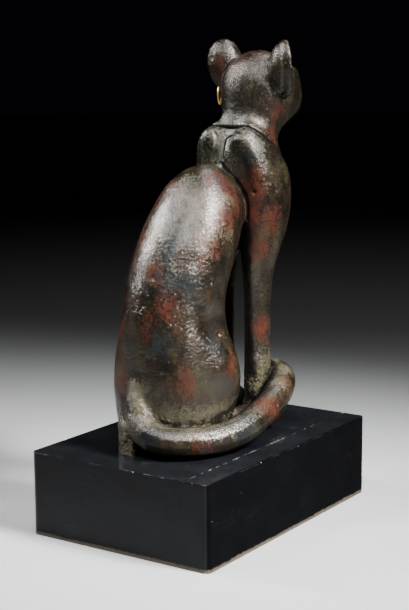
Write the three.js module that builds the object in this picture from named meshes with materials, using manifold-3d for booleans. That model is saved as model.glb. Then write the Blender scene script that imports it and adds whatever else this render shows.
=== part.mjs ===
// A seated cat of cast bronze, in the manner of ancient Egyptian temple bronzes. It wears one gold hoop
// in its left ear, and stands by two tenons in a black block.
// Millimetres. The origin is the middle of the block's underside, +Z is up, and the cat looks towards -Y.

import * as THREE from 'three';
import { mergeVertices } from 'three/addons/utils/BufferGeometryUtils.js';
import Module from 'manifold-3d';

const wasm = await Module();
wasm.setup();

// The block
const blockWidth = 90;
const blockLength = 130;
const blockHeight = 36;
const blockCorner = 3;          // radius of its upright corners
const scribeInset = 11.5;       // from the right long side to the line scribed along the top
const scribeWidth = 0.8;
const scribeDepth = 0.4;

// The cat
const catHeight = 168.5;        // from the soles to the tips of the ears
const catTurn = 7;              // degrees, by which the cat looks to the right of the block's own axis
const catShiftX = 1;
const catShiftY = -1.5;
const tailClearance = 0.35;     // between the lowest bend of the tail and the block

// The tenons under the rump and the right forepaw, and the mortises that hold them
const rearTenonWidth = 9;
const rearTenonThickness = 5;
const frontTenonWidth = 5;
const frontTenonThickness = 5;
const tenonReach = 12;          // into the block
const tenonClearance = 0.3;
const tenonBite = 3;            // up into the cat

// The ears and the gold hoop
const earWall = 2;
const hoopRadius = 4.2;
const wireRadius = 0.55;
const piercingClearance = 0.35;

// The figure is drawn for a cat 168.5 mm tall, with its soles at z = 0, and scaled to catHeight.
const drawnHeight = 168.5;
const scale = catHeight / drawnHeight;

const back = new THREE.Vector3(0, 1, 0);
const forward = new THREE.Vector3(0, -1, 0);
const left = new THREE.Vector3(1, 0, 0);
const up = new THREE.Vector3(0, 0, 1);
const down = new THREE.Vector3(0, 0, -1);

// A smooth curve through stations [at, value, value, ...], held level beyond both ends
function through(stations) {
  const at = stations.map((row) => row[0]);
  const columns = stations[0].slice(1).map((_, c) => stations.map((row) => row[c + 1]));
  const last = at.length - 1;
  const slope = (values, i) => {
    if (i === 0 || i === last) return 0;
    const before = (values[i] - values[i - 1]) / (at[i] - at[i - 1]);
    const after = (values[i + 1] - values[i]) / (at[i + 1] - at[i]);
    return before * after <= 0 ? 0 : (2 * before * after) / (before + after);
  };
  return (t) => {
    if (t <= at[0]) return columns.map((values) => values[0]);
    if (t >= at[last]) return columns.map((values) => values[last]);
    const i = at.findIndex((a) => a > t) - 1;
    const span = at[i + 1] - at[i];
    const s = (t - at[i]) / span;
    return columns.map((values) => {
      const rise = values[i + 1] - values[i];
      const start = slope(values, i) * span;
      const end = slope(values, i + 1) * span;
      return values[i] + s * (start + s * (3 * rise - 2 * start - end + s * (start + end - 2 * rise)));
    });
  };
}

// Fields. Each is negative inside its form and grows roughly by the millimetre outside it.

const join = (a, b, softness) => {
  const h = Math.max(softness - Math.abs(a - b), 0) / softness;
  return Math.min(a, b) - (h * h * softness) / 4;
};
const mirrored = (field, softness) => (x, y, z) => join(field(x, y, z), field(-x, y, z), softness);

// An ellipsoid with its middle and half sizes, leaned about the X axis by so many degrees
function ellipsoid(middle, half, lean = 0) {
  const cos = Math.cos(THREE.MathUtils.degToRad(lean));
  const sin = Math.sin(THREE.MathUtils.degToRad(lean));
  const least = Math.min(...half);
  return (x, y, z) => {
    const dy = y - middle[1];
    const dz = z - middle[2];
    const along = (cos * dy - sin * dz) / half[1];
    const rise = (sin * dy + cos * dz) / half[2];
    return (Math.hypot((x - middle[0]) / half[0], along, rise) - 1) * least;
  };
}

// An upright form with stations [z, x, y, half width, half depth]. Its level sections are ellipses, or
// squarer with a higher power.
function column(stations, power = 2) {
  const section = through(stations);
  const bottom = stations[0][0];
  const top = stations[stations.length - 1][0];
  return (x, y, z) => {
    const [middleX, middleY, halfX, halfY] = section(z);
    const across = Math.abs((x - middleX) / halfX) ** power + Math.abs((y - middleY) / halfY) ** power;
    const level = (across ** (1 / power) - 1) * Math.min(halfX, halfY);
    const beyond = Math.max(bottom - z, z - top);
    return beyond > 0 ? Math.hypot(Math.max(level, 0), beyond) : level;
  };
}

// The body is an egg that leans forwards, wide at the haunches and tucked in behind the shoulders.
const egg = column([
  [-6, 0, 21.5, 20, 21],
  [4, 0, 20.5, 22, 23.5],
  [14, 0, 20, 22.5, 24],
  [28, 0, 20, 22.5, 24],
  [42, 0, 20.8, 21.8, 23.4],
  [52, 0, 20.4, 21, 23.2],
  [62, 0, 18.6, 20.8, 23],
  [70, 0, 15.8, 21, 23],
  [78, 0, 12.2, 21, 23.4],
  [88, 0, 8, 20.4, 22],
  [96, 0, 4.8, 18.6, 19.6],
  [102, 0, 3.6, 16.2, 16.8],
  [108, 0, 2.6, 12.2, 12.4],
  [112.4, 0, 1.5, 7.6, 7.6],
  [115.6, 0, 0.5, 1.5, 1.5],
]);
const thigh = mirrored(ellipsoid([12.5, 21, 24], [11.6, 19, 27], -6), 4);
const knee = mirrored(ellipsoid([16, 9.2, 24.5], [8.8, 9.6, 14.5]), 4);
const rump = ellipsoid([1.5, 42, 7], [8, 8.5, 11]);
// It reaches forwards to the shoulders above the waist, and closes there in a narrow crease.
const flank = column([
  [82, 0, -2, 6, 6],
  [88, 0, -2.5, 14.5, 10.5],
  [94, 0, -3, 16.4, 11.5],
  [100, 0, -3, 15, 11],
  [106, 0, -3.4, 11.2, 10],
  [111, 0, -4, 6.8, 8.5],
  [114, 0, -4.5, 2, 6],
], 3);
const hindquarters = (x, y, z) => {
  const haunches = join(join(egg(x, y, z), thigh(x, y, z), 6), knee(x, y, z), 6);
  return join(join(haunches, rump(x, y, z), 4), flank(x, y, z), 4);
};

// Each foreleg is flattened at its sides and runs up into its shoulder blade.
const foreleg = column([
  [-3, 10.4, -24.2, 5.4, 7.8],
  [12, 10.4, -24, 4.6, 7.2],
  [30, 10.4, -23.8, 4.3, 7.1],
  [55, 10.5, -23.7, 4.4, 7.3],
  [67, 10.8, -23.9, 5, 8.8],
  [76, 11.8, -24.4, 6.2, 10.6],
  [85, 12.8, -25.6, 7.2, 12.4],
  [95, 13.6, -26.6, 7.7, 13],
  [102, 13.7, -26.6, 7.8, 13.2],
  [110, 12.8, -25.8, 7.8, 13.2],
  [117, 11.4, -23.4, 7.2, 12.2],
  [123, 10.2, -20.4, 6.4, 10.2],
  [128, 9.2, -18.6, 4.6, 6.8],
  [132, 8.8, -18, 1, 1.4],
], 2.6);
const forelegs = mirrored(foreleg, 3);
const chest = ellipsoid([0, -27.5, 98], [13, 13.5, 24], -8);
const neck = column([
  [92, 0, -24, 11, 13],
  [108, 0, -26, 12.5, 15],
  [118, 0, -28, 13.2, 14.8],
  [126, 0, -30.5, 12.6, 13],
  [134, 0, -33, 12.2, 12.4],
  [148, 0, -37, 12.4, 12.4],
]);
const breast = (x, y, z) => join(join(forelegs(x, y, z), chest(x, y, z), 5), neck(x, y, z), 5.5);

// The head: skull, jaw, cheeks, brows and eyes, with a snout that tapers to the nose, lips and chin
const skull = ellipsoid([0, -37, 146.3], [16.6, 16.4, 16.6]);
const jaw = ellipsoid([0, -43, 138.6], [12.2, 12.5, 7.6], 8);
const cheek = mirrored(ellipsoid([9.4, -44, 143], [6.4, 7.6, 8.2]), 4);
const brow = mirrored(ellipsoid([7, -49.4, 152.6], [5.4, 3.8, 3.2]), 3);
const snout = ellipsoid([0, -51, 140.6], [8.2, 10.4, 7.2], 10);
const bridge = ellipsoid([0, -54.2, 147], [2.8, 9.4, 3.2], -42);
const lip = mirrored(ellipsoid([3.1, -57.6, 137.6], [3.8, 4.4, 3.7]), 1.5);
const nose = ellipsoid([0, -60.6, 141.4], [2.5, 1.9, 1.8]);
const chin = ellipsoid([0, -55.6, 133.8], [3.6, 4.2, 2.8]);
const eye = mirrored(ellipsoid([8.2, -50.6, 147.6], [4.2, 2.9, 2.4]), 1);
const head = (x, y, z) => {
  const rear = join(skull(x, y, z), jaw(x, y, z), 8);
  const sides = join(join(rear, cheek(x, y, z), 5), brow(x, y, z), 4);
  const face = join(join(sides, snout(x, y, z), 5), bridge(x, y, z), 4);
  const mouth = join(join(lip(x, y, z), chin(x, y, z), 1.5), nose(x, y, z), 1.5);
  return join(join(face, mouth, 3), eye(x, y, z), 0.6);
};

// Up to the elbow a foreleg is a skin of its own, and above it is part of the breast. Each of the two
// slips inside the other beyond that height.
const elbow = 80;
const tuck = 0.25;
const forequarters = (x, y, z) => {
  const tucked = breast(x, y, z) + Math.max(0, elbow - z) * tuck;
  return join(tucked, head(x, y, z), 7);
};
const lowerForeleg = (side) => (x, y, z) => {
  const half = Math.max(breast(x, y, z), 1.5 - side * x);
  return half + Math.max(0, z - elbow) * tuck;
};

// Skins. A form's skin is found by rays from a line of middles inside it.

// How far a form reaches from a point inside it, along a direction
function reach(field, from, direction) {
  const stride = 0.5;
  const farthest = 60;
  const valueAt = (r) => {
    const p = from.clone().addScaledVector(direction, r);
    return field(p.x, p.y, p.z);
  };
  let outer = stride;
  while (outer < farthest && valueAt(outer) < 0) outer += stride;
  let inner = outer - stride;
  for (let i = 0; i < 10; i += 1) {
    const middle = (inner + outer) / 2;
    if (valueAt(middle) < 0) inner = middle;
    else outer = middle;
  }
  return (inner + outer) / 2;
}
const edgeOf = (field, from, direction) => from.clone().addScaledVector(direction, reach(field, from, direction));

// Each ring has a middle and the two directions of its plane, `out` and `side`. Its rays may be tilted
// towards `axis`, and an inset makes a groove.
function skin(field, rings, sides, startTip, endTip) {
  const hoops = rings.map(({ middle, out, side, axis, tilt = 0, inset = 0 }) => {
    const hoop = [];
    for (let k = 0; k < sides; k += 1) {
      const angle = (2 * Math.PI * k) / sides;
      const ray = out.clone().multiplyScalar(Math.cos(angle)).addScaledVector(side, Math.sin(angle));
      if (tilt) ray.multiplyScalar(Math.cos(tilt)).addScaledVector(axis, Math.sin(tilt));
      hoop.push(edgeOf(field, middle, ray).addScaledVector(ray, -inset));
    }
    return hoop;
  });
  return closedLoft(hoops, startTip, endTip);
}

// Rings whose rays tilt more and more towards an axis, and so round off the end of a form
function domeRings(middle, axis, count) {
  const rings = [];
  for (let i = 1; i <= count; i += 1) {
    rings.push({ middle, out: back, side: left, axis, tilt: (Math.PI / 2) * (i / (count + 1)) });
  }
  return rings;
}

// A closed solid from hoops of points, with a point at each end
function closedLoft(hoops, startTip, endTip) {
  const sides = hoops[0].length;
  const points = [...hoops.flat(), startTip, endTip];
  const start = points.length - 2;
  const end = points.length - 1;
  const top = (hoops.length - 1) * sides;
  const faces = [];
  for (let k = 0; k < sides; k += 1) {
    const next = (k + 1) % sides;
    faces.push([start, next, k], [end, top + k, top + next]);
    for (let low = 0; low < top; low += sides) {
      const high = low + sides;
      faces.push([low + k, low + next, high + next], [low + k, high + next, high + k]);
    }
  }
  let volume = 0;
  for (const [a, b, c] of faces) {
    volume += points[a].dot(new THREE.Vector3().crossVectors(points[b], points[c]));
  }
  const outwards = volume > 0 ? faces : faces.map(([a, b, c]) => [a, c, b]);
  return new wasm.Manifold(new wasm.Mesh({
    numProp: 3,
    vertProperties: new Float32Array(points.flatMap((p) => p.toArray())),
    triVerts: new Uint32Array(outwards.flat()),
  }));
}

function solidFrom(geometry) {
  geometry.deleteAttribute('normal');
  geometry.deleteAttribute('uv');
  const merged = mergeVertices(geometry, 1e-4);
  return new wasm.Manifold(new wasm.Mesh({
    numProp: 3,
    vertProperties: new Float32Array(merged.attributes.position.array),
    triVerts: new Uint32Array(merged.index.array),
  }));
}

function geometryFrom(solid) {
  const mesh = solid.getMesh();
  const geometry = new THREE.BufferGeometry();
  geometry.setAttribute('position', new THREE.BufferAttribute(new Float32Array(mesh.vertProperties), 3));
  geometry.setIndex(new THREE.BufferAttribute(new Uint32Array(mesh.triVerts), 1));
  geometry.computeVertexNormals();
  return geometry;
}

function box(x, y, low, high, width, depth) {
  const geometry = new THREE.BoxGeometry(width, depth, high - low);
  geometry.translate(x, y, (low + high) / 2);
  return solidFrom(geometry);
}

// The skins of the figure. Those that end at the soles run a little below them and are cut off there.
const belowSoles = -3;

function hindBody() {
  const shoulderHeight = 92;
  const levels = 17;
  const middleOf = through([[0, 20], [50, 20], [70, 15], [shoulderHeight, 4]]);
  const rings = [];
  for (let i = 0; i <= levels; i += 1) {
    const z = belowSoles + ((shoulderHeight - belowSoles) * i) / levels;
    rings.push({ middle: new THREE.Vector3(0, middleOf(z)[0], z), out: back, side: left });
  }
  const top = rings[levels].middle;
  rings.push(...domeRings(top, up, 5));
  return skin(hindquarters, rings, 30, rings[0].middle, edgeOf(hindquarters, top, up));
}

// The chest, shoulders, neck and head: a dome below, level rings, and rings that fan out from a pivot in
// front of the chest until they reach the nose. The ring along the edge of the collar is cut in.
function foreBody() {
  const pivot = new THREE.Vector3(0, -60, 98);
  const collarAngle = 37;
  const collarDepth = 0.6;
  const collarHalfWidth = 0.9;
  const noseAngle = 93.4;
  const middleOf = through([
    [0, 34], [20, 35], [collarAngle, 36], [50, 42], [60, 49], [70, 50.5], [80, 47.5], [noseAngle, 41],
  ]);
  const fanRing = (degrees, inset = 0) => {
    const angle = THREE.MathUtils.degToRad(degrees);
    const out = new THREE.Vector3(0, Math.cos(angle), Math.sin(angle));
    return { middle: pivot.clone().addScaledVector(out, middleOf(degrees)[0]), out, side: left, inset };
  };
  const low = new THREE.Vector3(0, -26, 81);
  const rings = domeRings(low, down, 3).reverse();
  for (const z of [low.z, 86.5, 92]) rings.push({ middle: low.clone().setZ(z), out: back, side: left });
  const spread = (from, to, count, ease = 1) => {
    for (let i = 0; i < count; i += 1) {
      rings.push(fanRing(from + (to - from) * (1 - (1 - i / count) ** ease)));
    }
  };
  spread(0, collarAngle - collarHalfWidth, 9);
  rings.push(fanRing(collarAngle - collarHalfWidth), fanRing(collarAngle, collarDepth));
  spread(collarAngle + collarHalfWidth, 72, 8);
  spread(72, noseAngle, 15, 1.3);
  const noseTip = edgeOf(forequarters, fanRing(noseAngle).middle, forward);
  return skin(forequarters, rings, 36, edgeOf(forequarters, low, down), noseTip);
}

function forelegSkin(side) {
  const heights = [belowSoles, 8, 18, 30, 42, 54, 62, 68, 73, 77, 80.5, 84, 88];
  const middleAt = (z) => new THREE.Vector3(side * 10.6, -24, z);
  const rings = heights.map((z) => ({ middle: middleAt(z), out: back, side: left }));
  return skin(lowerForeleg(side), rings, 18, middleAt(belowSoles), middleAt(89));
}

// The left paws, each from its heel to the tips of its toes
const forepaw = { x: 9.8, from: -14, to: -43, halfWidth: 6.2, height: 13 };
const hindPaw = { x: 18, from: 20, to: -30, halfWidth: 5.4, height: 10.5 };

// A paw: a low rounded form and four toes in front of it, the middle two the longer
function paw({ x, from, to, halfWidth, height }) {
  const bead = (place, half, around, levels) => {
    const geometry = new THREE.SphereGeometry(1, around, levels);
    geometry.rotateX(Math.PI / 2).scale(...half).translate(...place);
    return solidFrom(geometry);
  };
  const toeHalfWidth = halfWidth * 0.29;
  const toeLength = halfWidth * 1.7;
  const padFront = to + toeLength * 0.32;
  const padHalf = [halfWidth, (from - padFront) / 2, height * 0.8];
  let solid = bead([x, (from + padFront) / 2, height * 0.2], padHalf, 12, 6);
  for (const place of [-1.5, -0.5, 0.5, 1.5]) {
    const setBack = place ** 2 * 0.24 * halfWidth;
    const middle = [x + place * toeHalfWidth * 1.5, to + toeLength / 2 + setBack, height * 0.2];
    solid = solid.add(bead(middle, [toeHalfWidth, toeLength / 2, height * 0.34], 7, 6));
  }
  return solid;
}

// The tail leaves the rump low down, runs round the right side and ends in front of the forelegs.
function tail() {
  const route = new THREE.CatmullRomCurve3([
    new THREE.Vector3(0, 35.5, 44),
    new THREE.Vector3(0.5, 39.5, 29),
    new THREE.Vector3(0, 42.5, 17),
    new THREE.Vector3(-4.5, 45, 8.2),
    new THREE.Vector3(-13.5, 45, 4),
    new THREE.Vector3(-23, 38, 3),
    new THREE.Vector3(-28.5, 26, 3),
    new THREE.Vector3(-30.5, 12, 4.8),
    new THREE.Vector3(-29, -2, 8.2),
    new THREE.Vector3(-25.5, -16, 12),
    new THREE.Vector3(-20.5, -28.5, 16),
    new THREE.Vector3(-13, -36.5, 18.4),
    new THREE.Vector3(-3, -38.5, 18.4),
    new THREE.Vector3(5, -37.5, 17.4),
  ]);
  const radiusOf = through([[0, 4.6], [0.12, 5.2], [0.25, 6.3], [0.75, 6.5], [0.94, 5.4], [0.98, 4], [1, 2.2]]);
  const steps = 38;
  const sides = 11;
  const { normals, binormals } = route.computeFrenetFrames(steps, false);
  const middles = route.getSpacedPoints(steps);
  const hoops = middles.map((middle, i) => {
    const radius = radiusOf(i / steps)[0];
    const hoop = [];
    for (let k = 0; k < sides; k += 1) {
      const angle = (2 * Math.PI * k) / sides;
      const ray = normals[i].clone().multiplyScalar(Math.cos(angle)).addScaledVector(binormals[i], Math.sin(angle));
      hoop.push(middle.clone().addScaledVector(ray, radius));
    }
    return hoop;
  });
  const tip = middles[steps].clone().addScaledVector(route.getTangentAt(1), 1);
  return closedLoft(hoops, middles[0], tip);
}

// An ear: a cup that opens forwards and outwards, drawn flat with its opening towards -Y, then turned
const earHalfWidth = 8.2;
const earRise = 11.5;           // above its middle
const earDrop = 13;             // and below
const earDepth = 8.6;
const earPlaces = {
  left: { place: new THREE.Vector3(18, -35.5, 156.8), lean: 4, turn: 41 },
  right: { place: new THREE.Vector3(-18, -35.5, 155.8), lean: -4, turn: -41 },
};
const settleEar = (solid, { place, lean, turn }) => solid
  .rotate([-5, 0, 0]).rotate([0, lean, 0]).rotate([0, 0, turn]).translate(place.toArray());

function earCup() {
  const around = 18;
  const wall = earWall / scale;
  const layer = (share, inset, push = 0) => {
    const ring = [];
    for (let k = 0; k < around; k += 1) {
      const angle = (2 * Math.PI * k) / around;
      const rising = Math.sin(angle) > 0;
      const taper = rising ? 1 : 1 + 0.25 * Math.sin(angle);
      const across = Math.cos(angle) * (earHalfWidth - inset) * share * taper;
      const height = Math.sin(angle) * ((rising ? earRise : earDrop) - inset) * share;
      const deep = (earDepth - inset) * (1 - (0.15 * height) / earRise);
      ring.push(new THREE.Vector3(across, deep * Math.sqrt(1 - share ** 2.6) + push, height));
    }
    return ring;
  };
  const outside = [0.3, 0.6, 0.8, 0.93, 1].map((share) => layer(share, 0));
  const rim = layer(1, wall / 2, -0.7);
  const inside = [1, 0.85, 0.6, 0.3].map((share) => layer(share, wall));
  return closedLoft([...outside, rim, ...inside],
    new THREE.Vector3(0, earDepth, 0), new THREE.Vector3(0, earDepth - wall, 0));
}

// The hoop goes down through the lowest part of the left ear and round its rim.
const hoopTurn = THREE.MathUtils.degToRad(earPlaces.left.turn - 12);
const lobeFloor = new THREE.Vector3(2.2, -0.4, 0.5 - (earDrop - earWall / scale));
lobeFloor.applyAxisAngle(left, THREE.MathUtils.degToRad(-5));
lobeFloor.applyAxisAngle(up, THREE.MathUtils.degToRad(earPlaces.left.turn));
const hoopPlace = lobeFloor.add(earPlaces.left.place).multiplyScalar(scale);
hoopPlace.z += wireRadius + piercingClearance + 0.1 - hoopRadius;

function hoopGeometry(thickness, sides) {
  const geometry = new THREE.TorusGeometry(hoopRadius, thickness, sides, 24);
  geometry.rotateY(Math.PI / 2);
  return geometry;
}

// The cat as the founder cast it, in one piece
const tailSolid = tail();
const soleGap = tailClearance - tailSolid.boundingBox().min[2] * scale;
const tenonFoot = -soleGap - tenonReach;
const tenons = [
  { x: 1.6 * scale, y: 46.4 * scale, width: rearTenonWidth, thickness: rearTenonThickness },
  { x: -7.8 * scale, y: -38.8 * scale, width: frontTenonWidth, thickness: frontTenonThickness },
];

function catSolid() {
  let cat = hindBody().add(foreBody());
  for (const side of [-1, 1]) {
    cat = cat.add(forelegSkin(side));
    for (const { x, ...size } of [forepaw, hindPaw]) cat = cat.add(paw({ x: side * x, ...size }));
  }
  for (const place of Object.values(earPlaces)) cat = cat.add(settleEar(earCup(), place));
  cat = cat.subtract(box(0, 0, 3 * belowSoles, 0, blockWidth / scale, blockLength / scale));
  cat = cat.add(tailSolid).scale([scale, scale, scale]);
  for (const { x, y, width, thickness } of tenons) {
    cat = cat.add(box(x, y, tenonFoot, tenonBite, width, thickness));
  }
  const piercing = solidFrom(hoopGeometry(wireRadius + piercingClearance, 8));
  const turned = piercing.rotate([0, 0, THREE.MathUtils.radToDeg(hoopTurn)]);
  return cat.subtract(turned.translate(hoopPlace.toArray()));
}

// The block, with a mortise under each tenon and the line scribed along its top
function blockSolid() {
  const x = blockWidth / 2 - blockCorner;
  const y = blockLength / 2 - blockCorner;
  const outline = new THREE.Shape();
  outline.absarc(x, -y, blockCorner, -Math.PI / 2, 0);
  outline.absarc(x, y, blockCorner, 0, Math.PI / 2);
  outline.absarc(-x, y, blockCorner, Math.PI / 2, Math.PI);
  outline.absarc(-x, -y, blockCorner, Math.PI, Math.PI * 1.5);
  let block = solidFrom(new THREE.ExtrudeGeometry(outline, {
    depth: blockHeight, bevelEnabled: false, curveSegments: 5,
  }));
  const gap = 2 * tenonClearance;
  for (const { x: tenonX, y: tenonY, width, thickness } of tenons) {
    const mortise = box(tenonX, tenonY, tenonFoot - tenonClearance, 1, width + gap, thickness + gap);
    block = block.subtract(mortise.rotate([0, 0, -catTurn])
      .translate([catShiftX, catShiftY, blockHeight + soleGap]));
  }
  const lineX = scribeInset - blockWidth / 2;
  return block.subtract(box(lineX, 0, blockHeight - scribeDepth, blockHeight + 1, scribeWidth, blockLength + 2));
}

const bronze = new THREE.MeshStandardMaterial({ color: 0x4a3a30, roughness: 0.45, metalness: 0.6 });
const gold = new THREE.MeshStandardMaterial({ color: 0xc9a24a, roughness: 0.3, metalness: 1 });
const blackWood = new THREE.MeshStandardMaterial({ color: 0x15161a, roughness: 0.35, metalness: 0 });

const group = new THREE.Group();

const plinth = new THREE.Mesh(geometryFrom(blockSolid()), blackWood);
plinth.name = 'plinth';
group.add(plinth);

const stance = new THREE.Group();
stance.position.set(catShiftX, catShiftY, blockHeight + soleGap);
stance.rotation.z = THREE.MathUtils.degToRad(-catTurn);
group.add(stance);

const cat = new THREE.Mesh(geometryFrom(catSolid()), bronze);
cat.name = 'cat';
stance.add(cat);

const earring = new THREE.Mesh(hoopGeometry(wireRadius, 7), gold);
earring.name = 'earring';
earring.position.copy(hoopPlace);
earring.rotation.z = hoopTurn;
stance.add(earring);

export default group;
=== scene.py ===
"""A seated bronze cat with a gold hoop in its ear, on a black lacquered block.

Blender's own lengths are metres. The cat is carved in its own millimetres, in which its soles are at
z = 0, +X is its left side and it looks towards -Y.
"""

import math

import bpy
import numpy as np
from mathutils import Matrix, Vector, noise
from mathutils.bvhtree import BVHTree
from mathutils.kdtree import KDTree


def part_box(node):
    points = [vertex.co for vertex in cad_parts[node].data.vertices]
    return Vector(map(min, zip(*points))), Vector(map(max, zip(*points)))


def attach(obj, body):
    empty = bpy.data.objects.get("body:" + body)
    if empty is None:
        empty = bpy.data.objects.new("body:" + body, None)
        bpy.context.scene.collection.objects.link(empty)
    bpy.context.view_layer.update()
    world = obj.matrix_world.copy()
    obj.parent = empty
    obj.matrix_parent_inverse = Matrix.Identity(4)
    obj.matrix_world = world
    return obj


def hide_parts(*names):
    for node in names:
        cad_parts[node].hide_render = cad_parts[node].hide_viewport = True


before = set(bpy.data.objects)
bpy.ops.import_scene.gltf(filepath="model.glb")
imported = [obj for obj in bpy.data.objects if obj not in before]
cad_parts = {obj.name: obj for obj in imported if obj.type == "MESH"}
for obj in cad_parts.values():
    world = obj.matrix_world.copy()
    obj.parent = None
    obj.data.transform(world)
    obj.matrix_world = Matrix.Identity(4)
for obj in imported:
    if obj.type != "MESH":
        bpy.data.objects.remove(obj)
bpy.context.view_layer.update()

MM = 0.001

# How the cat stands on its block, as in the frame
cat_turn = math.radians(-7)
cat_shift = (1.0, -1.5)
ear_tip_height = 167.94
sole_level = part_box("cat")[1].z / MM - ear_tip_height
block_low, block_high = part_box("plinth")

# The block's own sizes, in millimetres
block_corner = 3        # the radius of its upright corners
block_bevel = 0.3
scribe_inset = 11.5     # from the right long side to the line scribed along the top
chip_count = 30

# How fine the cat's mesh is
voxel_size = 0.45       # millimetres
cat_triangles = 190000

# The camera: behind the cat and to its right, a little above
camera_target = Vector((5.45, -7.97, 91.68)) * MM
camera_distance = 618.24 * MM
camera_azimuth = math.radians(214.19)
camera_elevation = math.radians(9.84)
camera_roll = math.radians(-0.38)
focal_pixels = 1399.5
picture_height = 610


def make_camera():
    """The camera at the photo's angle, whose upright side takes the whole sensor"""
    back = Vector((
        math.sin(camera_azimuth) * math.cos(camera_elevation),
        -math.cos(camera_azimuth) * math.cos(camera_elevation),
        math.sin(camera_elevation),
    ))
    level_right = (-back).cross(Vector((0, 0, 1))).normalized()
    level_up = back.cross(level_right)
    right = level_right * math.cos(camera_roll) + level_up * math.sin(camera_roll)
    up = level_up * math.cos(camera_roll) - level_right * math.sin(camera_roll)
    place = camera_target + back * camera_distance
    bpy.ops.object.camera_add()
    camera = bpy.context.object
    camera.name = "camera"
    turn = Matrix((right, up, back)).transposed()
    camera.matrix_world = Matrix.Translation(place) @ turn.to_4x4()
    camera.data.sensor_width = 36
    camera.data.lens = camera.data.sensor_width * focal_pixels / picture_height
    camera.data.clip_start = 0.01
    bpy.context.scene.camera = camera


def select_only(piece):
    bpy.ops.object.select_all(action="DESELECT")
    piece.select_set(True)
    bpy.context.view_layer.objects.active = piece


def copy_of(node, name):
    """A copy of a node with its shared points merged, as clay for a finer piece"""
    piece = bpy.data.objects.new(name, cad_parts[node].data.copy())
    bpy.context.collection.objects.link(piece)
    piece.data.materials.clear()
    select_only(piece)
    bpy.ops.object.mode_set(mode="EDIT")
    bpy.ops.mesh.select_all(action="SELECT")
    bpy.ops.mesh.remove_doubles(threshold=1e-6)
    bpy.ops.object.mode_set(mode="OBJECT")
    return piece


def modify(piece, kind, **settings):
    """Adds a modifier and applies it"""
    select_only(piece)
    modifier = piece.modifiers.new(kind.lower(), kind)
    for name, value in settings.items():
        setattr(modifier, name, value)
    bpy.ops.object.modifier_apply(modifier=modifier.name)


def settle(piece, body_slot, finish, *nodes):
    """Gives a finished piece its material and puts it in the root body, in place of its nodes"""
    piece.data.materials.clear()
    piece.data.materials.append(finish)
    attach(piece, "root")
    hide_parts(*nodes)


# Materials

class Value:
    """One value of a material, which Python's own operators work on"""

    def __init__(self, finish, socket):
        self.finish = finish
        self.socket = socket

    def sum(self, operation, first, second=0.0):
        """One step of arithmetic on two values"""
        return self.finish.node("ShaderNodeMath", {"operation": operation}, {0: first, 1: second})

    def __add__(self, other):
        return self.sum("ADD", self, other)

    def __radd__(self, other):
        return self.sum("ADD", other, self)

    def __sub__(self, other):
        return self.sum("SUBTRACT", self, other)

    def __rsub__(self, other):
        return self.sum("SUBTRACT", other, self)

    def __mul__(self, other):
        return self.sum("MULTIPLY", self, other)

    def __rmul__(self, other):
        return self.sum("MULTIPLY", other, self)

    def __truediv__(self, other):
        return self.sum("DIVIDE", self, other)

    def __abs__(self):
        return self.sum("ABSOLUTE", self)

    def or_less(self, other):
        return self.sum("MINIMUM", self, other)

    def or_more(self, other):
        return self.sum("MAXIMUM", self, other)

    def root(self):
        return self.sum("SQRT", self)

    def fade(self, low, high):
        """0 up to low, 1 from high on, and smooth between. It falls where low is the higher of the two."""
        return self.finish.node(
            "ShaderNodeMapRange", {"interpolation_type": "SMOOTHSTEP"},
            {"Value": self, "From Min": low, "From Max": high, "To Min": 0.0, "To Max": 1.0},
        )


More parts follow.
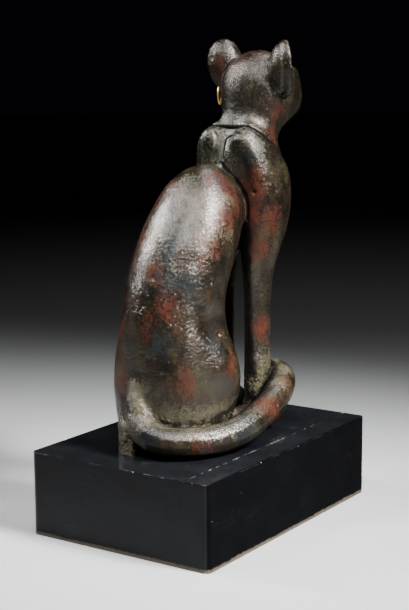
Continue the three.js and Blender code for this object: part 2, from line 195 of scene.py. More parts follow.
class Finish:
    """A material of nodes around one shader"""

    def __init__(self, name):
        self.material = bpy.data.materials.new(name)
        self.material.use_nodes = True
        self.tree = self.material.node_tree
        self.shader = self.tree.nodes["Principled BSDF"]
        self.place = self.node("ShaderNodeTexCoord", {}, {}, "Object")

    def fill(self, node, values):
        """Sets a node's sockets, or links them where the value comes from another node"""
        for name, value in values.items():
            if isinstance(value, Value):
                self.tree.links.new(value.socket, node.inputs[name])
            else:
                node.inputs[name].default_value = value

    def node(self, kind, settings, values, result=0):
        """Adds a node: first its settings, then the values or links of its sockets"""
        node = self.tree.nodes.new(kind)
        for name, value in settings.items():
            setattr(node, name, value)
        self.fill(node, values)
        return Value(self, node.outputs[result])

    def set(self, values):
        """Sets or links the shader's own sockets"""
        self.fill(self.shader, values)

    def axis(self, name):
        """One of the three numbers of each place, in metres"""
        return self.node("ShaderNodeSeparateXYZ", {}, {"Vector": self.place}, name)

    def attribute(self, name):
        """A number that the mesh keeps at each point"""
        return self.node("ShaderNodeAttribute", {"attribute_name": name}, {}, "Fac")

    def noise(self, size, seed, detail=2.0, stretch=(1, 1, 1), roughness=0.5):
        """Smooth noise about 0.5, with lumps of a size in millimetres, longer along a stretched axis"""
        place = self.node("ShaderNodeVectorMath", {"operation": "DIVIDE"}, {0: self.place, 1: stretch})
        return self.node(
            "ShaderNodeTexNoise", {"noise_dimensions": "4D"},
            {"Vector": place, "W": seed * 7.31, "Scale": 1 / (size * MM), "Detail": detail,
             "Roughness": roughness},
        )

    def cells(self, size, seed):
        """How far each place is from the nearest of many scattered points, in parts of their spacing"""
        return self.node(
            "ShaderNodeTexVoronoi", {"voronoi_dimensions": "4D"},
            {"Vector": self.place, "W": seed * 5.77, "Scale": 1 / (size * MM)}, "Distance",
        )

    def mix(self, share, first, second):
        """A colour between two others"""
        ends = {6: (*first, 1) if isinstance(first, tuple) else first,
                7: (*second, 1) if isinstance(second, tuple) else second}
        return self.node("ShaderNodeMix", {"data_type": "RGBA"}, {0: share, **ends}, 2)

    def dull(self, share, colour):
        """Takes a share of the gloss off"""
        matt = self.node(
            "ShaderNodeBsdfPrincipled", {},
            {"Base Color": colour, "Roughness": 1.0, "Specular IOR Level": 0.0},
        )
        shader = Value(self, self.shader.outputs[0])
        both = self.node("ShaderNodeMixShader", {}, {0: share, 1: shader, 2: matt})
        self.tree.links.new(both.socket, self.tree.nodes["Material Output"].inputs["Surface"])

    def bump(self, height):
        """Relief from a height in millimetres"""
        return self.node("ShaderNodeBump", {}, {"Height": height, "Distance": MM, "Strength": 1.0})


def make_bronze():
    """Dark old bronze, rubbed to a half gloss, with red, bluish and pale green patina"""
    finish = Finish("patinated bronze")
    hollow = finish.attribute("hollow")
    film = finish.attribute("film")
    crust_place = finish.attribute("crust")
    upright = (1, 1, 1.7)
    cloud = finish.noise(13, 1, 5, upright, 0.6) - 0.5
    mottle = finish.noise(5, 2, 6, upright, 0.65) - 0.5
    speck = finish.noise(1.1, 3, 4, roughness=0.7) - 0.5
    shade = finish.noise(7, 4, 5, upright, 0.6) - 0.5
    grain = finish.noise(0.45, 11, 2, roughness=0.7) - 0.5
    red_here = finish.attribute("red").root()
    blue_here = finish.attribute("blue").root()
    green_here = finish.attribute("green").root()
    red = (red_here * 0.62 + cloud * 1.2 + mottle * 1.7 + speck * 1.2 + grain * 0.6).fade(0.02, 0.95)
    bright_red = (red_here * 0.7 + mottle * 1.6 - shade * 1.0 + speck * 1.8 + grain * 0.8).fade(0.45, 1.4)
    blue = (blue_here * 0.8 + shade * 1.2 - mottle * 1.2 + speck * 1.4 + grain * 0.5).fade(0.2, 1.15)
    green = green_here * 0.8 + hollow * 0.6 + mottle * 1.2 - cloud * 0.7
    green = (green + speck * 1.7 + grain * 0.6).fade(0.28, 1.2)
    olive = (shade * 1.6 - cloud * 1.0 + speck * 1.2 + grain * 0.6).fade(-0.02, 0.5)
    crust = (crust_place * 1.1 + hollow * 0.3 + mottle * 1.6 + speck * 2.4 + grain * 1.2).fade(0.6, 1.15)
    haze = (film * 1.1 + mottle * 1.4 + speck * 1.6 + grain * 1.0).fade(0.38, 1.2)
    tone = (shade * 1.3 + mottle * 0.9 + speck * 1.3 + grain * 0.6 + 0.45).fade(0.1, 0.9)
    colour = finish.mix(tone, (0.0024, 0.0022, 0.0017), (0.0125, 0.0088, 0.0046))
    colour = finish.mix(olive * 0.85, colour, (0.0185, 0.0175, 0.008))
    colour = finish.mix(red * 0.75, colour, (0.034, 0.0105, 0.0064))
    colour = finish.mix(bright_red * 0.5, colour, (0.075, 0.017, 0.0115))
    colour = finish.mix(blue * 0.75, colour, (0.007, 0.0105, 0.014))
    colour = finish.mix(green * 0.65, colour, (0.042, 0.053, 0.03))
    colour = finish.mix(haze * 0.68, colour, (0.034, 0.029, 0.0145))
    colour = finish.mix(crust * 0.85, colour, (0.052, 0.045, 0.023))
    # Near black and matt in hollows and cut lines, partly grime and partly painted shade, and in the
    # recesses the cat shelters, which is painted shade
    dirt_and_painted_shade = (hollow * 1.2 + speck * 0.3).fade(0.14, 0.5)
    dirt_and_painted_shade = dirt_and_painted_shade.or_more((finish.attribute("cut") + speck * 0.4).fade(0.25, 0.6))
    dirt_and_painted_shade = dirt_and_painted_shade.or_more((finish.attribute("shelter") + mottle * 0.2).fade(0.3, 0.52)) * (1 - crust)
    colour = finish.mix(dirt_and_painted_shade * 0.92, colour, (0.0025, 0.0022, 0.002))
    rubbed = (0 - hollow + speck * 0.3).fade(0.1, 0.5)
    head = (finish.axis("Z") / MM).fade(150, 175)
    # Short winding lines and small pits in the skin
    rippled = finish.attribute("rippled")
    winding = abs(finish.noise(4.2, 5, 1.5) - 0.5)
    worm = winding.fade(0.03, 0.0) * finish.noise(5, 6, 1.0).fade(0.5, 0.64) * (rippled * 0.8 + 0.2)
    pits = finish.cells(1.9, 7).fade(0.34, 0.12) * finish.noise(5, 8, 2).fade(0.45, 0.62)
    skin = finish.noise(1.5, 9, 5, roughness=0.68)
    grit = finish.noise(0.6, 10, 2.0)
    height = skin * (head * 0.12 + 0.3) - worm * 0.1 - pits * 0.2
    height = height + grit * (crust * 0.6 + haze * 0.15 + 0.08) + crust * 0.2
    rough = 0.2 + head * 0.05 + shade * 0.14 + grain * 0.14 + red * 0.1 + green * 0.35
    rough = rough + haze * 0.25 + crust * 0.3 + worm * 0.1 + dirt_and_painted_shade * 0.45 - blue * 0.04
    matt = dirt_and_painted_shade.or_more(red * 0.85).or_more(crust * 0.8).or_more(green * 0.5).or_more(blue * 0.55)
    finish.dull(matt.or_less(0.9), colour)
    finish.set({
        "Base Color": colour,
        "Metallic": rubbed * 0.3,
        "Roughness": rough.or_less(0.95),
        "Specular IOR Level": 0.5,
        "Specular Tint": (1, 0.93, 0.85, 1),
        "Normal": finish.bump(height),
    })
    return finish.material


def make_lacquer():
    """Black lacquer on wood, with scuffs, specks and worn edges, and painted shade on its long sides"""
    finish = Finish("black lacquer")
    x, y, z = [finish.axis(name) for name in "XYZ"]
    # How far a place is in from the sides, down from the top and up from the foot, in millimetres
    in_x = (block_high.x - abs(x)) / MM
    in_y = (block_high.y - abs(y)) / MM
    below = (block_high.z - z) / MM
    above = z / MM
    fine = finish.noise(1.1, 1, 4, roughness=0.7) - 0.5
    broad = finish.noise(14, 2, 4) - 0.5
    # How deep a place lies below the sides, whose upright corners are round
    from_x = (block_corner - in_x).or_more(0.0)
    from_y = (block_corner - in_y).or_more(0.0)
    below_sides = block_corner - (from_x * from_x + from_y * from_y).root()
    edge = below.or_more(below_sides) + fine * 2.2
    worn = edge.fade(0.45, 0.0) * finish.noise(8, 3, 3).fade(0.5, 0.62)
    foot = (above + fine * 2.2 + broad * 1.2).fade(1.9, 0.9)
    # The line along the top, which has pale stretches in a dark groove, and the duller strip beside it
    on_top = below.fade(0.6, 0.3)
    from_line = (x - block_low.x) / MM - scribe_inset
    groove = abs(from_line + fine * 0.2).fade(0.62, 0.42) * on_top
    scribed = abs(from_line + fine * 0.5).fade(0.5, 0.2) * on_top
    scribed = scribed * finish.noise(4, 4, 4).fade(0.5, 0.64)
    strip = (0 - from_line).fade(0.3, 1.2) * on_top
    chipped = below_sides.or_less(below).or_less(above).fade(0.16, 0.26) * abs(from_line).fade(0.8, 1.2)
    painted_shade_sides = in_x.fade(1.3, 0.8)
    dust = finish.cells(2.6, 5).fade(0.09, 0.03) * finish.noise(12, 6).fade(0.42, 0.6)
    scuff = (finish.noise(1.2, 7, 3, stretch=(9, 9, 1)) - 0.5 + broad * 0.5).fade(0.08, 0.3)
    # Two faint rings on the right long side
    rings = 0.0
    for ring_y, ring_z in [(45.6, 19.1), (-49.0, 18.8)]:
        away = finish.node(
            "ShaderNodeVectorMath", {"operation": "DISTANCE"},
            {0: finish.place, 1: (block_low.x, ring_y * MM, ring_z * MM)}, "Value",
        )
        rings = rings + abs(away / MM - 3.0 + fine * 0.8).fade(0.7, 0.1)
    rings = rings * finish.noise(3, 8).fade(0.42, 0.62)
    pale = (worn * (1 - painted_shade_sides * 0.85) * 0.15 + scribed * 0.65 + dust * 0.5).or_less(1.0)
    colour = finish.mix((broad + 0.5).fade(0.2, 0.8), (0.002, 0.0021, 0.0025), (0.0042, 0.0044, 0.0053))
    colour = finish.mix(scuff * 0.1 + rings * 0.2, colour, (0.03, 0.032, 0.035))
    # The long sides are painted darker, as shade
    colour = finish.mix(painted_shade_sides * 0.75, colour, (0.0008, 0.0008, 0.001))
    colour = finish.mix(pale, colour, (0.22, 0.22, 0.21))
    colour = finish.mix(foot * 0.8, colour, (0.06, 0.05, 0.038))
    colour = finish.mix(chipped * 0.8, colour, (0.1, 0.085, 0.065))
    rough = 0.12 + (broad + 0.5) * 0.1 + scuff * 0.12 + rings * 0.12
    rough = rough + pale * 0.4 + foot * 0.45 + chipped * 0.4
    finish.dull((painted_shade_sides * 0.94).or_more(groove * 0.95).or_more(strip * 0.85), colour)
    height = finish.noise(3.5, 9, 3) * 0.05 + fine * (foot + chipped) * 0.3
    height = height - scribed * 0.12 + dust * 0.06
    finish.set({
        "Base Color": colour,
        "Roughness": rough.or_less(0.95),
        "Specular IOR Level": 0.1,
        "Normal": finish.bump(height),
    })
    return finish.material


def make_gold():
    """Worn yellow gold"""
    finish = Finish("worn gold")
    tone = finish.noise(2.5, 1, 4)
    grime = finish.noise(1.2, 2, 4).fade(0.55, 0.72)
    colour = finish.mix(tone, (0.9, 0.6, 0.2), (0.7, 0.43, 0.13))
    finish.set({
        "Base Color": finish.mix(grime * 0.6, colour, (0.16, 0.09, 0.04)),
        "Metallic": 1 - grime * 0.5,
        "Roughness": 0.22 + tone * 0.15 + grime * 0.3,
        "Normal": finish.bump(finish.noise(0.8, 3, 3) * 0.12),
    })
    return finish.material


def make_paper():
    """The pale paper that the block stands on"""
    finish = Finish("pale paper")
    tone = finish.noise(60, 1, 3)
    finish.set({
        "Base Color": finish.mix(tone, (0.226, 0.23, 0.232), (0.246, 0.248, 0.248)),
        "Roughness": 0.62 + tone * 0.1,
        "Specular IOR Level": 0.3,
    })
    return finish.material


# Carving

def to_cat(points):
    """From Blender's metres to the cat's own millimetres"""
    x = points[:, 0] / MM - cat_shift[0]
    y = points[:, 1] / MM - cat_shift[1]
    cos, sin = math.cos(-cat_turn), math.sin(-cat_turn)
    return np.stack([x * cos - y * sin, x * sin + y * cos, points[:, 2] / MM - sole_level], 1)


def from_cat(points):
    """From the cat's own millimetres to Blender's metres"""
    x, y = points[:, 0], points[:, 1]
    cos, sin = math.cos(cat_turn), math.sin(cat_turn)
    turned = [x * cos - y * sin + cat_shift[0], x * sin + y * cos + cat_shift[1], points[:, 2] + sole_level]
    return np.stack(turned, 1) * MM


def fade(values, low, high):
    """0 up to low, 1 from high on, and smooth between"""
    t = np.clip((values - low) / (high - low), 0, 1)
    return t * t * (3 - 2 * t)


def inside(points, middle, half):
    """How deep points are in an ellipsoid: 1 at its middle and 0 from its skin on"""
    return np.clip(1 - np.linalg.norm((points - np.array(middle)) / np.array(half), axis=1), 0, 1)


def to_line(points, corners):
    """How far points are from a line through corners, in the space of as many numbers as these have"""
    corners = np.array(corners, float)
    nearest = np.full(len(points), np.inf)
    for start, end in zip(corners[:-1], corners[1:]):
        along = end - start
        share = np.clip((points - start) @ along / (along @ along), 0, 1)
        nearest = np.minimum(nearest, np.linalg.norm(points - start - share[:, None] * along, axis=1))
    return nearest


def curve_through(corners, steps=6):
    """A smooth line through corners"""
    corners = [np.array(c, float) for c in corners]
    ends = [2 * corners[0] - corners[1], *corners, 2 * corners[-1] - corners[-2]]
    line = []
    for a, b, c, d in zip(ends[:-3], ends[1:-2], ends[2:-1], ends[3:]):
        for step in range(steps):
            t = step / steps
            line.append(0.5 * (2 * b + (c - a) * t + (2 * a - 5 * b + 4 * c - d) * t * t
                               + (3 * b - a - 3 * c + d) * t ** 3))
    return np.array([*line, corners[-1]])


def stroke(points, corners, width):
    """1 along a smooth line through corners, and down to 0 within about twice the width"""
    line = curve_through(corners)
    room = 2.5 * width
    near = np.all((points > line.min(0) - room) & (points < line.max(0) + room), axis=1)
    value = np.zeros(len(points))
    value[near] = np.exp(-(to_line(points[near], line) / width) ** 2)
    return value


class Clay:
    """The points of a piece in the cat's own millimetres, and the ways to move them"""

    def __init__(self, piece):
        self.mesh = piece.data
        self.count = len(self.mesh.vertices)
        flat = np.empty(self.count * 3, np.float32)
        self.mesh.vertices.foreach_get("co", flat)
        self.points = to_cat(flat.reshape(-1, 3).astype(float))
        edges = np.empty(len(self.mesh.edges) * 2, np.int32)
        self.mesh.edges.foreach_get("vertices", edges)
        self.edges = edges.reshape(-1, 2)
        self.degree = np.bincount(edges, minlength=self.count)
        self.mesh.calc_loop_triangles()
        corners = np.empty(len(self.mesh.loop_triangles) * 3, np.int32)
        self.mesh.loop_triangles.foreach_get("vertices", corners)
        self.corners = corners.reshape(-1, 3)

    def around(self, values):
        """The mean of each point's neighbours"""
        a, b = self.edges.T
        sums = np.bincount(a, values[b], self.count) + np.bincount(b, values[a], self.count)
        return sums / self.degree

    def relaxed(self, points, rounds, weight=0.5):
        """Points drawn towards their neighbours' mean, so many times over"""
        for _ in range(rounds):
            mean = np.stack([self.around(points[:, k]) for k in range(3)], 1)
            points = points + (mean - points) * np.reshape(weight, (-1, 1))
        return points

    def normals(self):
        """The direction out of the skin at each point"""
        p = self.points[self.corners]
        flat = np.cross(p[:, 1] - p[:, 0], p[:, 2] - p[:, 0])
        sums = np.stack([
            sum(np.bincount(self.corners[:, c], flat[:, k], self.count) for c in range(3)) for k in range(3)
        ], 1)
        return sums / np.maximum(np.linalg.norm(sums, axis=1, keepdims=True), 1e-12)

    def push(self, amounts):
        """Moves each point out along its normal, or in where the amount is below zero"""
        self.points += self.normals() * amounts[:, None]

    def hollows(self, rounds):
        """How far below its surroundings each point lies, and below zero where it stands out"""
        return np.einsum("ij,ij->i", self.relaxed(self.points, rounds) - self.points, self.normals())

    def keep(self):
        """Puts the moved points back into the mesh"""
        self.mesh.vertices.foreach_set("co", from_cat(self.points).astype(np.float32).ravel())
        self.mesh.update()

    def note(self, name, values):
        """Keeps a number at each point, for the materials"""
        attribute = self.mesh.attributes.new(name, "FLOAT", "POINT")
        attribute.data.foreach_set("value", values.astype(np.float32))


def grain(points, size, seed, octaves=1):
    """Smooth noise at each point, from about -1 to 1, with lumps of about the size given"""
    random = np.random.default_rng(seed)
    total = np.zeros(len(points))
    for octave in range(octaves):
        levels = random.uniform(-1, 1, (32, 32, 32))
        turn = np.linalg.qr(random.normal(size=(3, 3)))[0]
        spots = points @ turn * (2 ** octave * 1.6 / size)
        cell = np.floor(spots).astype(int)
        t = spots - cell
        t = t * t * (3 - 2 * t)
        value = np.zeros(len(points))
        for corner in np.ndindex(2, 2, 2):
            share = np.prod(np.where(corner, t, 1 - t), axis=1)
            i, j, k = ((cell + corner) % 32).T
            value += share * levels[i, j, k]
        total += value / 2 ** octave
    return total


# The cat's places, in its own millimetres
collar_pivot = np.array((-60.0, 98.0))      # y and z
collar_angle = math.radians(37)
# Each ear's place, how it leans and turns, and how strong its rim is
ears = [
    ((18, -35.5, 156.8), math.radians(4), math.radians(41), 0.3),
    ((-18, -35.5, 155.8), math.radians(-4), math.radians(-41), 1),
]
# Lines around the shoulder blades and between them
blade_edges = [
    [(-14, -13, 128), (-10.2, -12.6, 127.9), (-3.8, -15.8, 126.6), (0.3, -16.5, 124.7), (0.7, -15, 122.3),
     (0.2, -13.5, 119.2), (-0.2, -12.5, 115.8)],
    [(7.2, -14.2, 129), (6.2, -14, 127.7), (4.7, -14.1, 125.6), (4.5, -13.1, 123), (4.9, -12.2, 119.6),
     (5.2, -12.1, 115.6)],
]
blade_ridge = [(-9.4, -11, 125.3), (-5.7, -12.1, 123), (-3.8, -13, 119.8), (-3, -12.6, 116.8)]
blade_valley = [(2.6, -14.5, 127), (2.6, -13.5, 122), (2.5, -12.6, 117), (1.5, -12.4, 113)]
hump_crease = [
    (0.6, -12.1, 114.1), (-3.7, -11.8, 111), (-7.3, -12.1, 108), (-10.4, -12.8, 104),
    (-12.4, -13.2, 100), (-13.3, -13.4, 97.4), (-13.5, -13.4, 94.8), (-13.2, -13.5, 90.5),
]
eye_place = (8.2, 147.6)        # x and z
eye_half = (4.3, 2.3)
small_hole = (-16.2, -14, 102.2)

# Where the patina has its colours, each with how far it reaches
red_places = [
    (-15.5, 6.2, 102.4, 11), (-18.5, 10, 95, 9), (-19, 11.6, 91.8, 10), (-19.9, 17.8, 80.7, 8),
    (-12, 2, 107, 8), (-5.6, 36.7, 72.8, 6), (-13.2, 36.7, 60.3, 7), (-6.5, 42.2, 52.4, 6),
    (-4.1, 43.3, 48.1, 6), (-16, -13.8, 103.1, 9), (-15.3, -13.9, 92.3, 8), (-14.3, -28.3, 125.1, 6),
    (12, 26, 87, 14), (12.2, 42, 25.2, 12), (14, 36, 50, 12),
    (16, 38.6, 6.5, 9), (-25.1, 11.5, 30.4, 7), (-20.1, 36.2, 25.5, 7), (-33, -3, 12.9, 8),
    (-31.4, 36.2, 2.1, 7), (-28.5, -24.2, 17.2, 7), (-14.7, -21.7, 40.5, 7), (-17, -16.7, 76.9, 9),
    (-20.1, -21.1, 87.6, 9), (8.9, 18, 101, 12), (-10, -45, 138, 5), (14, -20, 95, 14), (16, -8, 60, 12),
    (4, -40, 112, 12), (-6, -30, 30, 9), (10, -34, 60, 10), (24, 4, 40, 12), (22, 14, 70, 12),
    (9, -50, 146, 7), (-14, -32, 138, 5), (4, -22, 158, 8), (16, -30, 152, 8),
]
blue_places = [
    (-8.6, 28.1, 87.1, 8), (-9.2, 31.3, 81.3, 8), (-7.5, 37.6, 68.5, 7), (-12.1, 35.3, 67.4, 7),
    (-11.5, 3.4, 108.3, 7), (-36, 15.5, 7, 10), (-14, -11.5, 118.1, 5), (-12.6, 51.4, 5.3, 10),
    (-11.4, 40.9, 43.1, 8), (-17.8, 29.4, 65.2, 7), (2, 20, 98, 10), (-28, 30, 5, 9), (-20, 20, 40, 8),
    (18, 10, 85, 10), (20, 25, 40, 10), (0, -35, 105, 9), (12, -40, 130, 8), (0, -48, 155, 8),
]
green_places = [
    (-2.4, 12.8, 109.3, 6), (-16.3, -17.5, 123, 9), (-8, -14, 126, 8), (10, -14, 120, 10),
    (-20.5, 7.7, 86.1, 6), (-16.8, 2.6, 100.1, 5), (2.4, -19.1, 128.9, 8), (8.5, -17.5, 130, 8),
    (3.4, -12.8, 119.6, 12), (-2.4, -12, 113.3, 8), (1, -13, 124, 9), (16, -18, 122, 8), (10, -45, 118, 6),
    (-8, -46, 116, 6), (12, -28, 30, 6), (20, -30, 150, 6), (-20, -30, 148, 6), (-8, -18, 132, 7),
]

# Where the back is wrinkled, and where the deposit and the pale film lie
ripple_places = [(-11, 31, 70, 18), (-6, 36, 58, 14), (14, 26, 70, 14), (20, 12, 50, 12)]
crust_places = [
    (-14.7, -21.6, 21.5, 7), (-8.7, -36.3, 23.7, 5), (-19.3, -30.2, 22.5, 6), (-17, -25, 24, 6),
    (-24, -20, 17, 5), (0, 49, 0, 9), (0, -20, 4, 8), (14, -14, 4, 7), (-12, -20, 16, 8), (12, -36, 3, 6),
]
chest_places = [
    (-17, -24, 100, 22), (-13, -18, 124, 14), (-9, -28, 136, 14), (8, -16, 124, 12), (0, -45, 105, 14),
]
tail_valley = [
    (-1.2, 46.9, 20.4), (-7.2, 45.5, 13.5), (-15, 41, 9.5), (-21.5, 34, 8),
    (-24, 26, 8), (-24.3, 17.9, 8.5), (-21.5, 7, 9), (-18.5, -2, 9.5), (-15, -12, 9), (-8, -20, 6),
]


def smooth_skin(clay):
    """Takes the facets off, and spares the creases and what is small"""
    p = clay.points
    x, y, z = p.T
    first = clay.relaxed(p, 10)
    crease = clay.hollows(8)
    sharp = clay.relaxed(np.repeat(fade(np.abs(crease), 0.06, 0.16)[:, None], 3, 1), 4)[:, 0]
    near_ears = np.max([inside(p, place, (13, 14, 19)) for place, *_ in ears], axis=0)
    head = fade(z, 122, 132) * (1 - fade(y, -28, -20))
    legs = fade(-y, 12, 16) * (1 - fade(z, 76, 90))
    paws = 1 - fade(z, 11, 16)
    spared = np.max([fade(near_ears, 0, 0.1), paws, 0.85 * legs, 0.7 * head, 0.8 * sharp], axis=0)
    clay.points = clay.relaxed(first, 90, 0.5 * (1 - spared))


def over_collar(points):
    """How far points are above the collar's edge, a slanting plane, and whether they are at the neck"""
    out = points[:, 1:] - collar_pivot
    reach = np.hypot(*out.T)
    lift = reach * np.sin(np.arctan2(out[:, 1], out[:, 0]) - collar_angle)
    return lift, fade(points[:, 2], 98, 104) * (1 - fade(reach, 70, 80))


def cut_of(points):
    """Where the narrow cut lines are, which are painted dark: partly grime, partly painted shade"""
    lift, near_neck = over_collar(points)
    lines = [near_neck * np.exp(-((lift + 0.1) / 0.5) ** 2), stroke(points, hump_crease, 1.0)]
    lines += [0.7 * stroke(points, line, 0.7) for line in blade_edges]
    return np.max(lines, axis=0)


def carve_collar(clay):
    """A narrow groove round the neck, with a raised lip above it"""
    lift, near_neck = over_collar(clay.points)
    groove = np.exp(-(lift / 0.42) ** 2)
    lip = fade(lift, 0.2, 1) * (1 - fade(lift, 1.4, 7))
    clay.push((0.35 * lip - 0.9 * groove) * near_neck)


def carve_shoulders(clay):
    """Shoulder blades with a valley between them, and the crease before the back"""
    p = clay.points
    cuts = np.max([stroke(p, line, 0.6) for line in blade_edges], axis=0)
    ridge = stroke(p, blade_ridge, 2.6)
    valley = stroke(p, blade_valley, 2.0)
    crease = stroke(p, hump_crease, 0.6)
    clay.push(0.5 * ridge - 0.5 * valley - 0.5 * cuts - 1.2 * crease)


def carve_knees(clay):
    """The bulge of each knee, with the dip of the waist above it"""
    p = clay.points
    mirrored = np.abs(p * (1, 0, 0)) * (-1, 0, 0) + p * (0, 1, 1)
    knee = fade(inside(mirrored, (-24, 17, 32), (12, 12, 13)), 0, 1)
    dip = fade(inside(mirrored, (-22, 18, 50), (10, 14, 11)), 0, 1)
    clay.push(1.8 * knee - 2.1 * dip)


def carve_ears(clay):
    """A thick rim on each ear"""
    p = clay.points
    amounts = np.zeros(len(p))
    nod = Matrix.Rotation(math.radians(-5), 3, "X")
    for place, lean, turn, thick in ears:
        settled = Matrix.Rotation(turn, 3, "Z") @ Matrix.Rotation(lean, 3, "Y") @ nod
        across, deep, height = ((p - np.array(place)) @ np.array(settled)).T
        near = fade(1 - np.hypot(across / 12, (height - 1) / 14.5), 0, 0.12)
        near = near * (1 - fade(np.abs(deep), 8, 10))
        rim = np.exp(-((deep - 1.0) / 1.5) ** 2)
        groove = np.exp(-((deep - 3.6) / 0.7) ** 2)
        amounts += near * thick * (0.35 * rim - 0.4 * groove)
    clay.push(amounts)


def carve_face(clay):
    """Eyes, nose, mouth and whiskers, drawn from in front"""
    p = clay.points
    x, y, z = p.T
    normals = clay.normals()
    ahead = fade(-normals[:, 1], 0.05, 0.3) * fade(-y, 42, 46) * fade(z, 126, 130)
    flat = np.stack([np.abs(x), z], 1)
    tilt = math.radians(12)
    across = flat - np.array(eye_place)
    u = (across[:, 0] * math.cos(tilt) + across[:, 1] * math.sin(tilt)) / eye_half[0]
    w = (across[:, 1] * math.cos(tilt) - across[:, 0] * math.sin(tilt)) / eye_half[1]
    almond = 1 - u * u - np.abs(w)
    lid = np.exp(-((almond + 0.22) / 0.2) ** 2)
    rim = np.exp(-((almond - 0.06) / 0.13) ** 2)
    ball = fade(almond, 0.05, 0.6)
    eyes = 0.4 * lid - 0.55 * rim + 0.12 * ball
    corner = stroke(flat, [(11.8, 148.6), (13.6, 149.4), (15, 149.6)], 0.4)
    tear = stroke(flat, [(4.6, 146.4), (3.8, 144.8), (3.5, 143.6)], 0.4)
    nostrils = np.exp(-(np.linalg.norm(flat - np.array((1.25, 140.6)), axis=1) / 0.55) ** 2)
    wings = stroke(flat, [(2.7, 142.4), (2.1, 140.2), (0.6, 139.2), (0, 139.1)], 0.4)
    furrow = stroke(flat, [(0, 139), (0, 136.4)], 0.4)
    mouth = stroke(flat, [(0, 136.2), (1.8, 135.5), (3.9, 135.6), (6, 136.6), (7.6, 138.2)], 0.45)
    whiskers = np.max([
        stroke(flat, [(3.4, 138.9 + k * 1.1), (5.8, 139.1 + k * 1.5), (8.4, 139.6 + k * 2.1)], 0.3)
        for k in range(3)
    ], axis=0)
    lines = 0.4 * corner + 0.4 * tear + 0.7 * nostrils + 0.4 * wings
    lines = lines + 0.4 * furrow + 0.6 * mouth + 0.25 * whiskers
    clay.push((eyes - lines) * ahead)


def reach_of(points, places):
    """How near points are to the nearest of some places: 1 there, and 0 out of its reach"""
    total = np.zeros(len(points))
    for x, y, z, size in places:
        total = np.maximum(total, inside(points, (x, y, z), (size, size, size * 1.3)))
    return total


def crust_of(points):
    """How thick the grainy deposit lies: in the valley beside the tail, by the paws and on the tenon"""
    valley = stroke(points, tail_valley, 2.6) * (0.6 + 0.5 * grain(points, 9, 11))
    return np.clip(np.maximum(valley, 1.2 * reach_of(points, crust_places)), 0, 1)


def film_of(points):
    """The thin pale film around the deposit, which is fainter on the chest and shoulders"""
    valley = stroke(points + np.array((0, 0, -2.5)), tail_valley, 8)
    crusts = reach_of(points, [(x, y, z, 2 * size) for x, y, z, size in crust_places])
    chest = reach_of(points, chest_places)
    return np.clip(np.max([valley, 1.2 * crusts, 0.27 * chest ** 0.5], axis=0), 0, 1)


def rippled_of(points):
    """Where the back is wrinkled"""
    return fade(reach_of(points, ripple_places), 0, 0.5)


def roughen(clay):
    """The uneven skin of an old casting: low waves, ripples on the back, pits and a grainy deposit"""
    p = clay.points
    waves = 0.14 * grain(p, 15, 1) + 0.07 * grain(p, 6, 2)
    ripples = grain(p / np.array((1, 1, 0.6)), 3, 3, 2)
    crust = crust_of(p)
    grains = grain(p, 1.3, 4, 2)
    pits = np.zeros(len(p))
    pit_count = 110
    picks = np.random.default_rng(7).integers(0, len(p), pit_count)
    sizes = np.random.default_rng(8).uniform(0.7, 1.9, pit_count)
    for pick, size in zip(picks, sizes):
        pits += fade(inside(p, p[pick], (size, size, size * 1.3)), 0, 1) * size * 0.24
    pits += 1.2 * np.exp(-(np.linalg.norm(p - np.array(small_hole), axis=1) / 0.8) ** 2)
    wrinkles = 0.075 * ripples * (0.35 + 0.65 * rippled_of(p))
    clay.push(waves + wrinkles + crust * (0.35 + 0.4 * grains) - pits)


def shelter_of(clay):
    """What share of the directions away from each point the cat itself shuts off, within 45 mm"""
    tree = BVHTree.FromPolygons(clay.points.tolist(), clay.corners.tolist())
    normals = clay.normals()
    # Directions spread evenly over a ball
    ray_count = 40
    turns = np.arange(ray_count) + 0.5
    level = 1 - 2 * turns / ray_count
    ring = np.sqrt(1 - level ** 2)
    rays = np.stack([ring * np.cos(turns * 2.4), ring * np.sin(turns * 2.4), level], 1)
    picks = np.arange(0, clay.count, 9)
    known = KDTree(len(picks))
    shut = []
    for number, pick in enumerate(picks):
        start = Vector(clay.points[pick] + 0.3 * normals[pick])
        open_rays = rays[rays @ normals[pick] > 0.15]
        hits = [tree.ray_cast(start, Vector(ray), 45)[0] is not None for ray in open_rays]
        shut.append(np.mean(hits))
        known.insert(start, number)
    known.balance()
    near = [[number for _, number, _ in known.find_n(Vector(point), 4)] for point in clay.points]
    return np.array(shut)[np.array(near)].mean(1)


def make_cat():
    """The cat, carved in a fine mesh that notes where its patina lies and where shade is painted"""
    piece = copy_of("cat", "cat_bronze")
    modify(piece, "REMESH", mode="VOXEL", voxel_size=voxel_size * MM)
    clay = Clay(piece)
    smooth_skin(clay)
    carve_collar(clay)
    carve_shoulders(clay)
    carve_knees(clay)
    carve_ears(clay)
    carve_face(clay)
    roughen(clay)
    clay.keep()
    modify(piece, "DECIMATE", ratio=min(1, cat_triangles / len(clay.corners)))
    clay = Clay(piece)
    p = clay.points
    above_waist = fade(p[:, 2], 84, 94)
    clay.note("hollow", clay.hollows(30))
    clay.note("red", reach_of(p, red_places))
    clay.note("blue", reach_of(p, blue_places))
    clay.note("green", reach_of(p, green_places))
    clay.note("crust", crust_of(p))
    clay.note("film", film_of(p))
    clay.note("rippled", rippled_of(p))
    # How much the cat shuts off round each point, less above the waist, which the bronze paints as shade in
    # its recesses
    clay.note("shelter", shelter_of(clay) * (1 - 0.3 * above_waist))
    clay.note("cut", cut_of(p))
    select_only(piece)
    bpy.ops.object.shade_smooth()
    settle(piece, "bronze", make_bronze(), "cat")


# Block and hoop

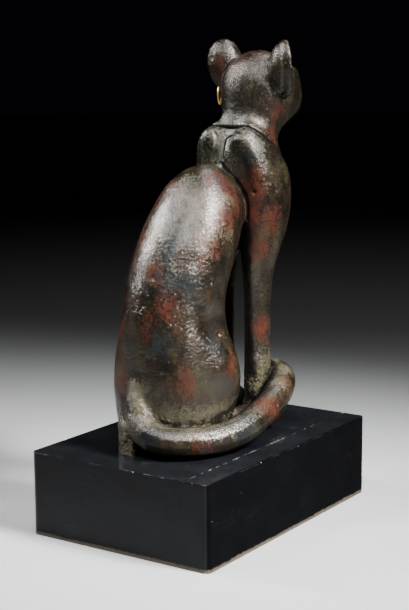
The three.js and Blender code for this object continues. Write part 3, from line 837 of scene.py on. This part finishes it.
def make_block():
    """The block, with softened edges and small chips knocked out of them"""
    piece = copy_of("plinth", "lacquered_block")
    modify(piece, "BEVEL", width=block_bevel * MM, segments=2, limit_method="ANGLE",
           angle_limit=math.radians(35))
    random = np.random.default_rng(5)
    chips = []
    for number in range(chip_count):
        size = random.uniform(0.5, 1.3) * MM
        side = random.choice([-1, 1])
        along = random.uniform(-0.95, 0.95)
        off = 0.45 * size
        level = block_high.z + off if number % 3 else block_low.z - off
        if random.random() < 0.5:
            place = (side * (block_high.x + off), along * block_high.y, level)
        else:
            place = (along * block_high.x, side * (block_high.y + off), level)
        bpy.ops.mesh.primitive_ico_sphere_add(subdivisions=2, radius=size, location=place)
        chip = bpy.context.object
        for point in chip.data.vertices:
            point.co *= 1 + 0.3 * noise.noise(point.co / size * 1.3 + Vector((number, 0, 0)))
        chips.append(chip)
    bpy.ops.object.select_all(action="DESELECT")
    for chip in chips:
        chip.select_set(True)
    bpy.context.view_layer.objects.active = chips[0]
    bpy.ops.object.join()
    cutter = bpy.context.object
    modify(piece, "BOOLEAN", operation="DIFFERENCE", object=cutter, solver="EXACT", use_self=True)
    bpy.data.objects.remove(cutter, do_unlink=True)
    select_only(piece)
    bpy.ops.object.shade_smooth_by_angle(angle=math.radians(50))
    modify(piece, "WEIGHTED_NORMAL", keep_sharp=True)
    settle(piece, "black_wood", make_lacquer(), "plinth")


def make_hoop():
    """The gold hoop, rounder than its node"""
    piece = copy_of("earring", "gold_hoop")
    modify(piece, "SUBSURF", levels=2, render_levels=2)
    select_only(piece)
    bpy.ops.object.shade_smooth()
    settle(piece, "gold", make_gold(), "earring")


# Floor and light

def make_floor():
    """A wide sheet of paper, which is stage and not part of the object"""
    bpy.ops.mesh.primitive_circle_add(vertices=96, radius=5, fill_type="NGON")
    floor = bpy.context.object
    floor.name = "floor"
    floor.data.materials.append(make_paper())


def make_light(name, azimuth, elevation, distance, width, height, power, spread, aim):
    """A softbox with a grid, which looks at its aim from one side. Lengths are in metres."""
    a, e = math.radians(azimuth), math.radians(elevation)
    away = Vector((math.sin(a) * math.cos(e), -math.cos(a) * math.cos(e), math.sin(e)))
    middle = Vector(aim)
    bpy.ops.object.light_add(type="AREA", location=middle + away * distance)
    light = bpy.context.object
    light.name = name
    light.rotation_euler = away.to_track_quat("Z", "Y").to_euler()
    light.data.shape = "RECTANGLE"
    light.data.size = width
    light.data.size_y = height
    light.data.energy = power
    light.data.spread = math.radians(spread)


make_camera()
make_cat()
make_block()
make_hoop()
make_floor()
make_light("key", 203, 58, 1.1, 0.24, 0.24, 0.72, 25, (-0.12, 0.04, 0.08))
make_light("right", 278, 44, 1.1, 0.3, 0.3, 3.7, 28, (-0.02, 0.07, 0.05))
make_light("side", 102, 32, 1.1, 0.14, 0.6, 0.85, 20, (0.0, 0.03, 0.2))
make_light("high", 133, 55, 1.1, 0.2, 0.3, 0.3, 18, (0.0, 0.0, 0.2))
make_light("wide", 230, 72, 1.3, 0.3, 0.3, 0.72, 72, (-0.07, -0.11, 0.0))
make_light("front", 350, 66, 1.1, 0.35, 0.35, 0.3, 22, (0.0, -0.05, 0.15))

# A room that is almost dark
world = bpy.data.worlds.new("studio")
bpy.context.scene.world = world
world.use_nodes = True
world.node_tree.nodes["Background"].inputs["Color"].default_value = (0.0015, 0.0012, 0.0025, 1)
